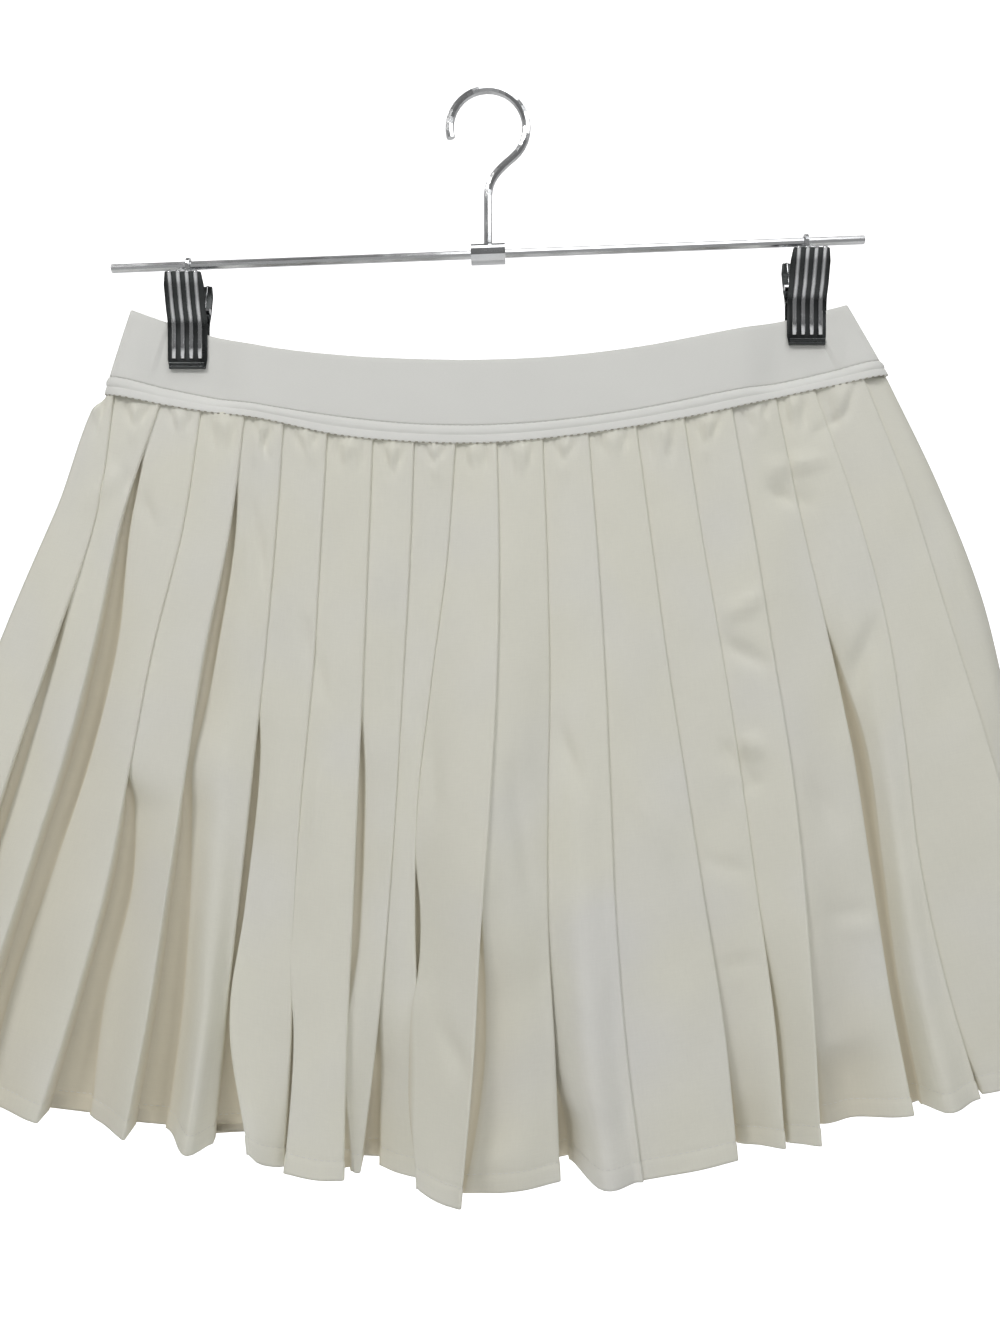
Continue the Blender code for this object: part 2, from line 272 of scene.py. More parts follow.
def face_outwards(mesh: bpy.types.Mesh) -> None:
    """Closes a mesh's open ends, points its faces outwards and shades it smooth."""
    work = bmesh.new()
    work.from_mesh(mesh)
    bmesh.ops.holes_fill(work, edges=work.edges, sides=0)
    bmesh.ops.recalc_face_normals(work, faces=work.faces)
    work.to_mesh(mesh)
    work.free()
    mesh.shade_smooth()


def evaluated_mesh(holder: bpy.types.Object) -> bpy.types.Mesh:
    """Links a working object, takes its evaluated mesh, smooth, and removes the object."""
    bpy.context.scene.collection.objects.link(holder)
    graph = bpy.context.evaluated_depsgraph_get()
    mesh = bpy.data.meshes.new_from_object(holder.evaluated_get(graph))
    mesh.name = holder.name
    holder.modifiers.clear()
    bpy.data.objects.remove(holder)
    mesh.shade_smooth()
    return mesh


def wire(
    name: str, routes: list[Grid], radius: float, rounding: int, finish: bpy.types.Material
) -> bpy.types.Object:
    """Round wires with closed ends.

    Args:
        name: name of the piece.
        routes: the wires' middle lines, points in metres.
        radius: radius of the wire, in millimetres.
        rounding: how finely the wire's section is rounded.
        finish: material.

    Returns:
        The new object, a plain mesh.
    """
    curve = bpy.data.curves.new(name, "CURVE")
    curve.dimensions = "3D"
    curve.bevel_depth = radius * MM
    curve.bevel_resolution = rounding
    curve.use_fill_caps = True
    for route in routes:
        spline = curve.splines.new("POLY")
        spline.points.add(len(route) - 1)
        for knot, at in zip(spline.points, route):
            knot.co = (*at, 1.0)
    mesh = evaluated_mesh(bpy.data.objects.new(name, curve))
    mesh.materials.clear()
    return add_piece(name, mesh, finish)


class Nodes:
    """Short way to build a node tree: makes nodes, sets their inputs and links them."""

    def __init__(self, tree: bpy.types.NodeTree) -> None:
        """Keeps the tree that the nodes go in."""
        self.tree = tree

    def give(self, node: bpy.types.Node, inputs: dict) -> bpy.types.Node:
        """Fills a node's inputs.

        Args:
            node: the node.
            inputs: input name or number to a value, or to an output socket to link.

        Returns:
            The node.
        """
        for key, value in inputs.items():
            if isinstance(value, bpy.types.NodeSocket):
                self.tree.links.new(value, node.inputs[key])
            else:
                node.inputs[key].default_value = value
        return node

    def add(self, kind: str, inputs: dict | None = None, **settings: object) -> bpy.types.Node:
        """One node.

        Args:
            kind: the node's type name.
            inputs: as for give.
            **settings: attributes of the node.

        Returns:
            The node.
        """
        node = self.tree.nodes.new(kind)
        for key, value in settings.items():
            setattr(node, key, value)
        return self.give(node, inputs or {})

    def maths(self, operation: str, *values: Input) -> bpy.types.NodeSocket:
        """Output of a Math node on numbers or sockets."""
        node = self.add("ShaderNodeMath", dict(enumerate(values)), operation=operation)
        return node.outputs[0]

    def scaled(self, value: Input, factor: float, start: Input) -> bpy.types.NodeSocket:
        """A value times a factor, added to a start."""
        return self.maths("ADD", self.maths("MULTIPLY", value, factor), start)

    def noise(
        self, vector: Input, scale: float, detail: float, stretch: tuple | None = None
    ) -> bpy.types.NodeSocket:
        """Noise on a vector, which a Mapping node stretches first if asked."""
        if stretch:
            vector = self.add("ShaderNodeMapping", {"Vector": vector, "Scale": stretch}).outputs[0]
        inputs = {"Vector": vector, "Scale": scale, "Detail": detail}
        return self.add("ShaderNodeTexNoise", inputs).outputs[0]

    def ridges(
        self, vector: Input, pitch: float, way: str, inputs: dict | None = None
    ) -> bpy.types.NodeSocket:
        """Even ridges, a pitch in millimetres apart, across the way that is named."""
        inputs = {"Vector": vector, "Scale": 2 * math.pi / (20.0 * pitch * MM), **(inputs or {})}
        return self.add("ShaderNodeTexWave", inputs, bands_direction=way).outputs["Fac"]

    def blend(self, share: Input, start: Input, end: Input) -> bpy.types.NodeSocket:
        """Colour between two colours."""
        inputs = {"Factor": share, 6: start, 7: end}
        return self.add("ShaderNodeMix", inputs, data_type="RGBA").outputs[2]

    def shaded(self, colour: Input, value: Input) -> bpy.types.NodeSocket:
        """A colour made lighter or darker by a value near 1."""
        return self.add("ShaderNodeHueSaturation", {"Color": colour, "Value": value}).outputs[0]

    def bump(self, height: Input, strength: float, distance: float) -> bpy.types.NodeSocket:
        """Normal of a fine relief, whose full height is the distance, in millimetres."""
        inputs = {"Height": height, "Strength": strength, "Distance": distance * MM}
        return self.add("ShaderNodeBump", inputs).outputs[0]


def start_finish(name: str) -> tuple[bpy.types.Material, Nodes, bpy.types.Node]:
    """Starts a material; returns it, its node builder and its Principled BSDF."""
    made = bpy.data.materials.new(name)
    made.use_nodes = True
    return made, Nodes(made.node_tree), made.node_tree.nodes["Principled BSDF"]


# ---------------------------------------------------------------- finishes


@dataclass(frozen=True)
class PleatedCloth:
    """Matte ivory plain weave with slubs and cool patches; painted cooler light low in the middle,
    painted warm shade and glow in the fold hollows.
    """

    name: str = "ivory_plain_weave"
    colour: Colour = (0.80, 0.79, 0.695)
    # colour of the painted cooler light
    painted_cool_light: Colour = (0.785, 0.78, 0.735)
    # colour of the painted warm shade and painted glow in the fold hollows
    painted_hollow_colour: Colour = (0.61, 0.565, 0.45)
    thread: float = 0.42
    sheen: float = 0.12
    # strength of the painted glow in the fold hollows
    painted_glow: float = 0.13

    def make(self) -> bpy.types.Material:
        """Builds the material on the cloth's UV map, in metres, and its two attributes: painted
        cooler light, and painted shade with glow in the fold hollows.
        """
        made, n, shader = start_finish(self.name)
        uv = n.add("ShaderNodeUVMap", uv_map="cloth").outputs[0]
        tint, deep = (
            n.add("ShaderNodeAttribute", attribute_name=name).outputs["Fac"]
            for name in ("tint", "hollow")
        )
        slub = n.noise(uv, 1.0, 3.0, (1400.0, 160.0, 1.0))
        weft = n.noise(uv, 1.0, 3.0, (180.0, 1500.0, 1.0))
        cloud, patch = n.noise(uv, 28.0, 2.0), n.noise(uv, 17.0, 1.0)
        patches = n.maths("MULTIPLY", n.maths("SUBTRACT", patch, 0.5), 2.0)
        # cooler tone: painted cooler light where the tint attribute is high, plus random patches
        # of the cloth's own tone
        cooler = n.add("ShaderNodeClamp", {"Value": n.maths("ADD", patches, tint)}).outputs[0]
        threads = n.maths("MULTIPLY", n.maths("ADD", slub, weft), 0.5)
        base = n.blend(cooler, (*self.colour, 1.0), (*self.painted_cool_light, 1.0))
        # painted shade: the fold hollows are darkened towards a warm brown
        base = n.blend(deep, base, (*self.painted_hollow_colour, 1.0))
        shade, cloudy = n.scaled(threads, 0.10, 0.95), n.scaled(cloud, 0.05, 0.975)
        weave = n.maths(
            "MAXIMUM", n.ridges(uv, self.thread, "X"), n.ridges(uv, self.thread, "Y")
        )
        n.give(shader, {
            "Base Color": n.shaded(base, n.maths("MULTIPLY", shade, cloudy)),
            "Normal": n.bump(n.scaled(threads, 1.6, weave), 0.35, 0.06),
            # painted glow: the fold hollows give off warm light, though no lamp is there
            "Emission Strength": n.maths("MULTIPLY", n.maths("POWER", deep, 2.0), self.painted_glow),
            "Emission Color": (*self.painted_hollow_colour, 1.0),
            "Roughness": 0.92,
            "Sheen Weight": self.sheen,
            "Sheen Roughness": 0.5,
            "Specular IOR Level": 0.12,
        })
        return made


@dataclass(frozen=True)
class KnitElastic:
    """Smooth white elastic with fine lengthwise ribs."""

    name: str = "white_elastic"
    colour: Colour = (0.785, 0.787, 0.752)
    rib: float = 0.9
    depth: float = 0.04

    def make(self) -> bpy.types.Material:
        """Builds the material on the band's UV map, in metres."""
        made, n, shader = start_finish(self.name)
        uv = n.add("ShaderNodeUVMap", uv_map="cloth").outputs[0]
        ribs = n.ridges(uv, self.rib, "Y", {"Distortion": 0.4, "Detail": 1.0})
        fuzz = n.noise(uv, 1.0, 4.0, (900.0, 2200.0, 1.0))
        value = n.scaled(fuzz, 0.05, n.scaled(n.noise(uv, 22.0, 2.0), 0.05, 0.95))
        n.give(shader, {
            "Base Color": n.shaded((*self.colour, 1.0), value),
            "Normal": n.bump(n.scaled(ribs, 0.5, fuzz), 0.3, self.depth),
            "Roughness": 0.8,
            "Sheen Weight": 0.3,
            "Sheen Roughness": 0.5,
            "Specular IOR Level": 0.3,
        })
        return made


@dataclass(frozen=True)
class Thread:
    """Spun sewing thread."""

    name: str = "sewing_thread"
    colour: Colour = (0.74, 0.735, 0.70)
    twist: float = 0.35

    def make(self) -> bpy.types.Material:
        """Builds the material: a fine diagonal twist on object coordinates."""
        made, n, shader = start_finish(self.name)
        twist = n.ridges(n.add("ShaderNodeTexCoord").outputs["Object"], self.twist, "DIAGONAL")
        n.give(shader, {
            "Base Color": n.shaded((*self.colour, 1.0), n.scaled(twist, 0.15, 0.9)),
            "Normal": n.bump(twist, 0.4, 0.05),
            "Roughness": 0.7,
        })
        return made


@dataclass(frozen=True)
class Steel:
    """Polished steel with faint draw marks; a darker, rougher copy paints the shade of a recess.
    """

    name: str
    colour: Colour
    roughness: float

    def make(self) -> bpy.types.Material:
        """Builds the material on object coordinates."""
        made, n, shader = start_finish(self.name)
        place = n.add("ShaderNodeTexCoord").outputs["Object"]
        marks = n.noise(place, 1.0, 3.0, (60.0, 2500.0, 2500.0))
        smudge = n.noise(place, 90.0, 3.0)
        smudged = n.maths("MULTIPLY", smudge, self.roughness)
        n.give(shader, {
            "Base Color": n.shaded((*self.colour, 1.0), n.scaled(smudge, 0.25, 0.87)),
            "Normal": n.bump(marks, 0.15, 0.03),
            "Roughness": n.scaled(marks, 0.10, smudged),
            "Metallic": 1.0,
        })
        return made


# ---------------------------------------------------------------- stitches and ribs


class Repeater:
    """Geometry Nodes that set a small shape at even steps along a route."""

    def __init__(self) -> None:
        """Starts with no tree; one is built for each kind of repeat."""
        self.made = 0

    def tree(self, finish: bpy.types.Material) -> bpy.types.NodeTree:
        """Node tree that lays round-ended bars along the edges of its input mesh.

        Args:
            finish: material of the bars.

        Returns:
            The tree, with inputs Pitch, Bar length and Bar radius in metres.
        """
        self.made += 1
        tree = bpy.data.node_groups.new(f"bars_along_route_{self.made}", "GeometryNodeTree")
        face = tree.interface
        face.new_socket("Geometry", in_out="INPUT", socket_type="NodeSocketGeometry")
        for name in ("Pitch", "Bar length", "Bar radius"):
            face.new_socket(name, in_out="INPUT", socket_type="NodeSocketFloat")
        face.new_socket("Geometry", in_out="OUTPUT", socket_type="NodeSocketGeometry")
        n = Nodes(tree)
        given = n.add("NodeGroupInput").outputs
        route = n.add("GeometryNodeMeshToCurve", {"Mesh": given["Geometry"]})
        spacing = {"Curve": route.outputs[0], "Length": given["Pitch"]}
        steps = n.add("GeometryNodeResampleCurve", spacing, mode="LENGTH")
        ball = n.add("GeometryNodeMeshUVSphere", {"Segments": 6, "Rings": 5, "Radius": 1.0})
        half, radius = n.maths("MULTIPLY", given["Bar length"], 0.5), given["Bar radius"]
        size = n.add("ShaderNodeCombineXYZ", {"X": radius, "Y": radius, "Z": half})
        along = n.add("GeometryNodeInputTangent")
        turn = n.add("FunctionNodeAlignRotationToVector", {"Vector": along.outputs[0]}, axis="Z")
        bars = n.add("GeometryNodeInstanceOnPoints", {
            "Points": steps.outputs[0],
            "Instance": ball.outputs["Mesh"],
            "Rotation": turn.outputs[0],
            "Scale": size.outputs[0],
        })
        real = n.add("GeometryNodeRealizeInstances", {"Geometry": bars.outputs[0]})
        dress = {"Geometry": real.outputs[0], "Material": finish}
        dressed = n.add("GeometryNodeSetMaterial", dress)
        n.add("NodeGroupOutput", {"Geometry": dressed.outputs[0]})
        return tree

    def lay(
        self, name: str, routes: list[Grid], pitch: float, length: float, radius: float,
        finish: bpy.types.Material,
    ) -> bpy.types.Object:
        """Bars along routes, as one plain mesh object.

        Args:
            name: name of the piece.
            routes: lists of points in metres.
            pitch: distance between bars, in millimetres.
            length: length of a bar, in millimetres.
            radius: radius of a bar, in millimetres.
            finish: material of the bars.

        Returns:
            The new object.
        """
        points, edges = [], []
        for route in routes:
            first = len(points)
            points.extend(route.tolist())
            edges.extend((first + i, first + i + 1) for i in range(len(route) - 1))
        line = bpy.data.meshes.new(name + "_route")
        line.from_pydata(points, edges, [])
        holder = bpy.data.objects.new(name, line)
        modifier = holder.modifiers.new("Bars", "NODES")
        modifier.node_group = self.tree(finish)
        sizes = {"Pitch": pitch * MM, "Bar length": length * MM, "Bar radius": radius * MM}
        for item in modifier.node_group.interface.items_tree:
            if item.item_type == "SOCKET" and item.name in sizes:
                modifier[item.identifier] = sizes[item.name]
        return add_piece(name, evaluated_mesh(holder), finish)


# ---------------------------------------------------------------- the pleated skirt


@dataclass(frozen=True)
class Fold:
    """One pressed fold: the panel on its left ends in it and laps over the next panel.

    x is the fold's line and gap how far it stands open, over seven even heights from seam
    to hem. crest, floor and ledge are places forward of the middle plane at the hem: the
    fold's edge, the bottom of the hollow behind it, and the start of the next panel.
    swell is a hump in the panel that ends in this fold: its share of the way along the
    panel, and its height, which is negative in a trough.
    """

    x: tuple[float, ...]
    gap: tuple[float, ...]
    crest: float
    floor: float
    ledge: float
    swell: tuple[float, float] = (0.5, 0.5)


FRONT_FOLDS = (
    Fold((-174, -181, -197, -214, -230, -244, -257), (0, 0, 2, 3, 3, 3, 6), 24, 8, 10),
    Fold((-152, -169, -180, -193, -209, -225, -239), (0, 4, 9, 9.5, 8, 6, 6),
         22, 5, 7, (0.4, -2.0)),
    Fold((-133, -141, -154, -164, -174, -188, -204), (0, 0, 0, 1, 9.5, 10.5, 20),
         18, 3, 4, (0.4, -2.0)),
    Fold((-112, -119, -130, -138, -146, -154, -164), (0, 3, 5, 2.5, 8.5, 12.5, 15),
         20, 2, 4, (0.4, -2.0)),
    Fold((-94, -98, -103, -109, -115, -121, -127), (0, 0, 0, 4, 4, 4, 22), 9, 2, 32, (0.72, 20.0)),
    Fold((-74, -77, -80, -85, -88, -89, -92), (0, 0, 0, 0, 0, 2.5, 3), 20, 12, 31, (0.3, 2.0)),
    Fold((-53, -55, -57, -59, -61, -63, -64), (0, 0, 1, 3.5, 3.5, 1, 3), 28, 17, 20, (0.6, 1.5)),
    Fold((-34, -36, -39, -42, -46, -51, -58), (0, 0, 0, 0, 1, 2.5, 9), 18, 2, 10, (0.5, 0.0)),
    Fold((-15, -19, -26, -32, -33, -31, -31), (0, 0, 0, 0, 3.2, 0, 2), 22, 14, 42, (0.4, 1.0)),
    Fold((4, 5, 4, 1, -3, -6, -11), (0, 0, 0, 0, 2, 5, 2), 58, 38, 43, (0.5, 0.5)),
    Fold((25, 27, 28, 27, 27, 30, 32), (0, 0, 0, 0, 0, 0.5, 6), 29, 7, 12, (0.6, 3.0)),
    Fold((46, 50, 53, 55, 57, 61, 67.5), (0, 0, 0, 0, 0, 0, 1.5), 38, 28, 36, (0.42, 22.0)),
    Fold((68, 75, 82, 90, 98, 106, 111), (0, 0, 0, 0, 0, 1, 4), 27, 8, 11, (0.5, 1.0)),
    Fold((90, 98, 107, 115, 122, 129, 133), (0, 0, 0, 0, 1, 3, 3), 24, 10, 18, (0.5, -2.0)),
    Fold((112, 121, 129, 137, 142, 145, 147), (0, 0, 0, 0, 0, 1, 6), 31, 10, 12, (0.5, -1.0)),
    Fold((133, 144, 156, 167, 175, 183, 193), (0, 0, 2, 8, 7.5, 6.5, 7), 17, 6, 9, (0.4, -6.0)),
    Fold((151, 169, 183, 191, 197, 208, 223), (0, 0, 0, 0, 0, 0, 3), 17, 7, 14, (0.25, 13.0)),
    Fold((174, 194, 210, 226, 241, 255, 268), (0, 0, 0, 0, 0, 0, 4), 18, 7, 9, (0.4, -2.0)),
)
LEFT_SEAM = (-178.0, -200.0, -222.0, -242.0, -261.0, -279.0, -295.0)
RIGHT_SEAM = (186.0, 210.0, 230.0, 243.0, 256.0, 269.0, 281.0)


@dataclass(frozen=True)
class Crease:
    """A soft trough or ridge pressed into a panel by wear.

    Where it starts, as x and length of cloth under the seam; how far it runs in each of
    them; its half width; and its depth, which is negative in a trough.
    """

    x: float
    down: float
    run_x: float
    run_down: float
    width: float
    depth: float


FRONT_CREASES = (
    Crease(-172, 30, 18, 26, 4.0, -1.2),
    Crease(-184, 52, 16, -20, 4.0, 1.2),
    Crease(-108, 40, 5, 34, 4.0, -1.2),
    Crease(-84, 88, 10, 34, 4.0, -1.3),
    Crease(-74, 150, -8, 40, 4.5, 1.0),
    Crease(-30, 120, 6, 50, 4.5, -1.2),
    Crease(12, 150, 8, 60, 5.0, -1.0),
    Crease(30, 130, 14, 34, 4.5, -1.2),
    Crease(60, 150, 20, 46, 5.0, 1.2),
    Crease(130, 31, 24, 2, 3.6, 2.2),
    Crease(130, 41, 18, 10, 3.6, -2.4),
    Crease(152, 20, 14, -6, 3.4, -1.2),
    Crease(108, 93, 20, -6, 4.0, 1.8),
    Crease(106, 104, 20, 14, 4.0, -2.0),
    Crease(108, 152, 9, 12, 3.4, -2.6),
    Crease(116, 151, 9, 5, 3.8, 2.2),
    Crease(112, 172, 12, -3, 3.8, -1.6),
    Crease(178, 112, -14, 34, 5.5, -2.2),
    Crease(164, 156, 12, 26, 5.0, 1.4),
    Crease(146, 176, 14, 22, 5.0, -1.2),
    Crease(156, 236, 24, 3, 3.2, -0.8),
    Crease(158, 244, 22, 4, 3.2, 0.7),
    Crease(95, 200, 26, 10, 4.0, -0.9),
    Crease(104, 250, 18, -2, 3.4, -0.8),
    Crease(-20, 262, 12, 20, 5.0, -1.2),
)


@dataclass
class PleatedPanel:
    """Front or back of the skirt: a fine sheet through its pressed folds."""

    pattern: Pattern
    side: Side
    length: float = 333.0
    under_band: float = 2.5
    thickness: float = 0.5
    hem_depth: float = 8.2
    # a closed fold: cloth behind it, its edge's radius, and the steps down from its edge to
    # the next panel and to the layer behind, which stays clear of the panel's own face
    lap: float = 7.5
    radius: float = 0.8
    step: float = 1.5
    tuck_under: float = 1.2
    valley_step: float = 3.7
    clearance: float = 4.2
    under_step: float = 0.6
    least_floor: float = 1.2
    # between which gaps, in millimetres, each part of an opening fold changes
    tuck_gaps: tuple[float, float] = (0.8, 3.2)
    ledge_gaps: tuple[float, float] = (0.4, 2.2)
    apart_gaps: tuple[float, float] = (0.5, 4.0)
    lap_gaps: tuple[float, float] = (0.0, 5.0)
    floor_gaps: tuple[float, float] = (0.5, 8.0)
    far_gaps: tuple[float, float] = (0.0, 3.0)
    # powers of the share of the way down: the flare, and what comes late, near the hem
    flare: float = 1.1
    late: int = 4
    latest: int = 6
    # depths at which a face and a fold's turns get the full painted shade of the hollows, and the
    # most painted shade for a face
    face_hollow: float = 24.0
    turn_hollow: float = 8.0
    most_face_hollow: float = 0.75
    face_columns: int = 13
    wear: float = 1.7
    side_round: tuple[float, float] = (2.0, 3.0)
    side_bulge: float = 3.0

    def folds(self) -> tuple[Fold, ...]:
        """The panel's own folds; the back's are the front's turned round and evened out."""
        if self.side is Side.FRONT:
            return FRONT_FOLDS
        rows = []
        count = len(FRONT_FOLDS)
        left, right = (tuple(-x for x in seam) for seam in (RIGHT_SEAM, LEFT_SEAM))
        for i, (mate, own) in enumerate(zip(reversed(FRONT_FOLDS), FRONT_FOLDS)):
            share = (i + 1) / (count + 1)
            xs = tuple(mix(-x, mix(a, b, share), 0.5) for x, a, b in zip(mate.x, left, right))
            rows.append(Fold(
                xs,
                tuple(0.4 * g for g in own.gap),
                mix(own.crest, 27.0, 0.5),
                mix(own.floor, 8.0, 0.5),
                mix(own.ledge, 14.0, 0.5),
                (own.swell[0], 0.4 * own.swell[1]),
            ))
        return tuple(rows)

    def seams(self) -> tuple[tuple[float, ...], tuple[float, ...]]:
        """The left and right side seams, as seen from outside the panel."""
        if self.side is Side.FRONT:
            return LEFT_SEAM, RIGHT_SEAM
        return tuple(-x for x in RIGHT_SEAM), tuple(-x for x in LEFT_SEAM)

    def levels(self) -> Grid:
        """Lengths of cloth under the seam at which the sheet has a row, closer at its ends."""
        return np.concatenate([
            np.linspace(-self.under_band, 20.0, 17)[:-1],
            np.linspace(20.0, self.length - 12.0, 92)[:-1],
            np.linspace(self.length - 12.0, self.length, 11),
        ])

    def corner(self, before: Grid, at: Grid, after: Grid) -> list[Grid]:
        """Three points round a fold's edge, cut off at its radius along both its sides."""
        ends = []
        for other in (before, after):
            way = other - at
            far = np.linalg.norm(way, axis=1, keepdims=True)
            ends.append(at + way / far * np.minimum(self.radius, 0.45 * far))
        return [ends[0], 0.25 * ends[0] + 0.5 * at + 0.25 * ends[1], ends[1]]

    def section(self, down: Grid) -> tuple[Grid, Grid, Grid]:
        """The sheet's sections at every level.

        Args:
            down: lengths of cloth under the seam.

        Returns:
            Points (rows, columns, 2) as x and forward; a share for each column that is 1 on
            the open face of a panel and 0 inside its folds; and each point's painted shade,
            from its depth in the fold hollows, from 0 to 1.
        """
        t = down / self.length
        inside = np.clip(t, 0.0, 1.0)
        flare, late, latest = inside**self.flare, inside**self.late, inside**self.latest
        left, right = (through(seam, t) for seam in self.seams())
        bulge = self.side_bulge * smoothstep(0, 10, down) * (1 - smoothstep(12, 60, down))
        if self.side is Side.FRONT:
            left = left - bulge
        else:
            right = right + bulge
        out = mix(*self.side_round, inside)

        def pair(x: Amount, forward: Amount) -> Grid:
            """Points of one column from x and forward."""
            return np.stack(np.broadcast_arrays(x, forward), axis=-1)

        half_gap = self.pattern.half_gap
        columns = [pair(left, half_gap), pair(left, out * 0.5), pair(left + 0.15, out)]
        open_face = [0.0, 0.0, 0.0]
        hollow = [0.0 * t] * 3
        ledge, last_front = pair(left + 0.4, out + 0.6), out
        for f in self.folds():
            # the fold's edge, and the start of the next panel beside or under it
            x = through(f.x, t)
            gap = np.clip(through(f.gap, t), 0.0, None)
            start = float(self.pattern.seam_forward(self.side.value * f.x[0]))
            front = mix(start, f.crest, flare)
            tucked = 1 - smoothstep(*self.tuck_gaps, gap)
            ledge_x = x - self.tuck_under * tucked + gap * smoothstep(*self.ledge_gaps, gap)
            lower = float(f.ledge < f.crest)
            apart = np.maximum(lower * smoothstep(*self.apart_gaps, gap), latest)
            step = mix(front - self.step, mix(start - self.step, f.ledge, flare), apart)
            # the layer behind, as far back as the fold stands open
            width = np.maximum(x - ledge[:, 0], 1.0)
            closed_lap = np.minimum(self.lap, 0.6 * width)
            reach = mix(closed_lap, 0.6, smoothstep(*self.lap_gaps, gap))
            trough = min(f.swell[1], 0.0) * inside**3
            own_face = mix(front, ledge[:, 1], reach / width) + trough
            deep = late * smoothstep(*self.floor_gaps, gap)
            floor = mix(front - self.valley_step - 0.8 * gap, f.floor, deep)
            floor = np.minimum(floor, own_face - self.clearance)
            floor = np.minimum(floor, step - self.under_step)
            floor = np.maximum(floor, self.least_floor)
            step = np.maximum(step, floor + self.under_step)
            next_ledge = pair(ledge_x, step)
            crest, under = pair(x, front), pair(x, front - 2 * self.radius)
            near = pair(x - np.minimum(1.2, 0.5 * reach), floor + 0.7)
            floor_x = x - reach
            far_x = mix(floor_x + 0.8, ledge_x - 0.9, smoothstep(*self.far_gaps, gap))
            # the panel's face, with its hump
            share = mix(0.5, f.swell[0], inside**2)
            rise = mix(0.5, f.swell[1], inside**3)
            for s in np.linspace(0.0, 1.0, self.face_columns + 2)[1:-1]:
                hump = smoothstep(0.0, 1.0, np.where(s < share, s / share, (1 - s) / (1 - share)))
                across = mix(ledge, crest, s)
                across[:, 1] += rise * hump
                columns.append(across)
                open_face.append(min(1.0, 4.0 * s, 6.0 * (1 - s)))
                # painted shade: the further a face lies behind the line between the crests, the
                # darker it is painted
                lost = mix(last_front, front, s) - across[:, 1]
                shade = np.clip(lost / self.face_hollow, 0.0, 1.0)
                hollow.append(self.most_face_hollow * shade)
            # the turns of the fold itself
            turns = self.corner(across, crest, under)
            turns += [under, near, pair(floor_x, floor), pair(far_x, floor)]
            turns.append(next_ledge - pair(0.35, 0.3))
            columns += [*turns, next_ledge + pair(0.35, 0.1)]
            open_face += [0.3, 0.1] + [0.0] * (len(turns) - 2) + [0.3]
            # painted shade of the fold's turns, by how deep they lie behind its edge
            depths = [(front - point[:, 1]) / self.turn_hollow for point in turns]
            depths.append((front - step) / self.face_hollow)
            hollow += [np.clip(depth, 0.0, 1.0) for depth in depths]
            ledge, last_front = next_ledge, front
        last = pair(right - 0.15, out)
        columns += [mix(ledge, last, 0.3), mix(ledge, last, 0.65), last]
        columns += [pair(right, out * 0.5), pair(right, half_gap)]
        open_face += [1.0, 1.0, 0.0, 0.0, 0.0]
        hollow += [0.0 * t] * 5
        return np.stack(columns, axis=1), np.asarray(open_face), np.stack(hollow, axis=1)

    def sheet(self) -> tuple[Grid, Grid, Grid, Grid]:
        """The whole sheet, before its small creases.

        Returns:
            Points in millimetres (x, forward, height), lengths of cloth under the seam per
            row, the open-face share per column and the painted shade of the fold hollows per
            point.
        """
        down = self.levels()
        flat, open_face, hollow = self.section(down)
        flat[..., 1] -= 0.5 * np.clip(-down, 0.0, None)[:, None]
        turn = self.side.value
        top_x = np.clip(turn * flat[0, :, 0], self.pattern.band[0][0], self.pattern.band[-1][0])
        heights = np.zeros(flat.shape[:2])
        heights[0] = self.pattern.along(top_x, 3) + self.under_band
        step = np.diff(down)[:, None]
        across = np.sum(np.diff(flat, axis=0) ** 2, axis=2)
        fall = np.sqrt(np.maximum(step**2 - across, (0.4 * step) ** 2))
        heights[1:] = heights[0] - np.cumsum(fall, axis=0)
        return np.dstack([flat, heights]), down, open_face, hollow

    @staticmethod
    def normals(points: Grid) -> Grid:
        """Outward unit normals of a grid of (x, forward, height) points."""
        along = np.gradient(points, axis=1)
        downward = np.gradient(points, axis=0)
        normal = np.cross(along, downward)
        size = np.linalg.norm(normal, axis=2, keepdims=True)
        return normal / np.maximum(size, 1e-9)

    def relief(self, points: Grid, down: Grid, open_face: Grid) -> Grid:
        """How far each point stands off the smooth sheet: gathers, waves, creases, hem."""
        x = points[..., 0]
        depth = np.broadcast_to(down[:, None], x.shape)
        face = open_face[None, :]
        under = np.clip(depth, 0.0, None)
        gathers = (
            0.5 * np.sin(x / 1.05 + 1.3 * np.sin(x / 9.0)) * np.exp(-under / 4.0)
            + 0.9 * (1 - np.exp(-under / 3.0)) * np.exp(-under / 22.0)
        )
        waves = (
            0.45 * np.sin(x / 11.0 + under / 37.0) * np.sin(under / 29.0 + x / 23.0)
            + 0.3 * np.sin(x / 6.5 + under / 16.0) * np.sin(under / 12.0 - x / 19.0)
        )
        relief = gathers + waves * smoothstep(15, 70, under)
        for crease in (*self.puckers(), *FRONT_CREASES):
            relief = relief + self.wear * self.crease_relief(crease, x, under)
        relief = face * np.maximum(relief, 1.4 - self.clearance)
        relief = relief * mix(0.25, 1.0, smoothstep(0.0, 6.0, under))
        above_stitches = self.length - depth - self.hem_depth
        turned_up = 0.3 * (1 - smoothstep(-1.2, 0.4, above_stitches))
        return relief + turned_up - 0.28 * np.exp(-((above_stitches / 0.9) ** 2))

